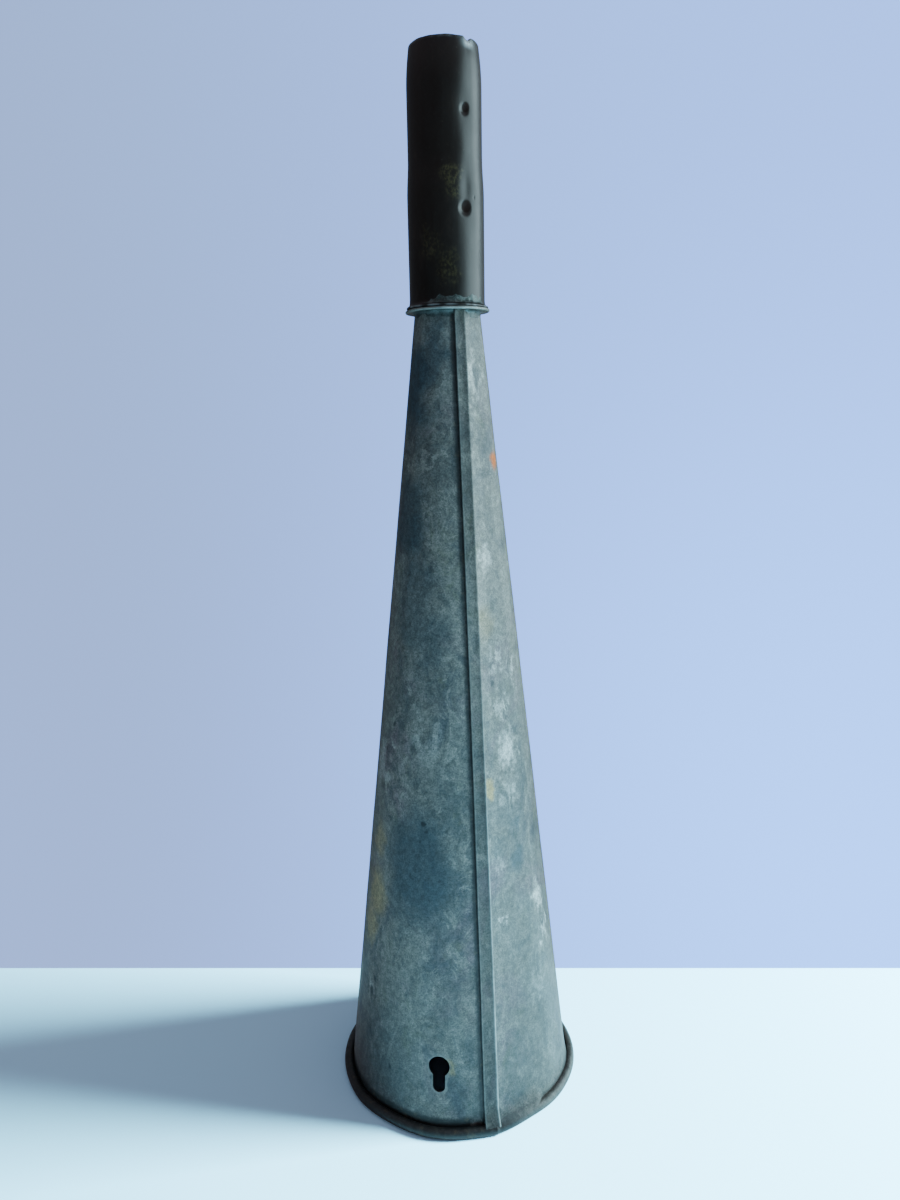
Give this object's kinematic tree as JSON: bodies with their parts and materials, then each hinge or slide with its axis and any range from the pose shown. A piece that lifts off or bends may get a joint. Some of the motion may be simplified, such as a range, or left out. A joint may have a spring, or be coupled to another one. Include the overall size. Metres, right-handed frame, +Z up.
{
  "type": "funnel",
  "caption": "Long galvanised sheet-metal funnel with a wired rim, folded side seam, hanging keyhole and a dark steel spout tube soldered to its neck.",
  "frame": {"origin": "centre of the mouth, on the plane that the rolled rim rests on", "axes": "+Z up along the funnel's axis, from the mouth to the spout's tip; -Y to the side with the keyhole and the side seam; +X to the right when that side is seen with the spout up"},
  "size_m": [0.1138, 0.1138, 0.457],
  "materials": {
    "galvanised_sheet": "weathered zinc coating on sheet steel, mottled, with white bloom and a few rust spots",
    "galvanised_seam": "weathered zinc coating, rubbed bright along the fold",
    "galvanised_collar": "dull zinc, tinned with solder",
    "rim_wire": "plain drawn steel wire",
    "solder": "soft solder, dull grey",
    "black_steel": "blackened steel, smooth satin gloss, rubbed and browned in places"
  },
  "bodies": {
    "root": {"cone_sheet": "galvanised_sheet", "side_seam": "galvanised_seam", "rim_wire": "rim_wire", "collar_ring": "galvanised_collar", "collar_solder": "solder", "spout_tube": "black_steel", "lip_solder": "solder", "neck_solder": "solder", "seam_solder": "solder"}
  },
  "joints": []
}
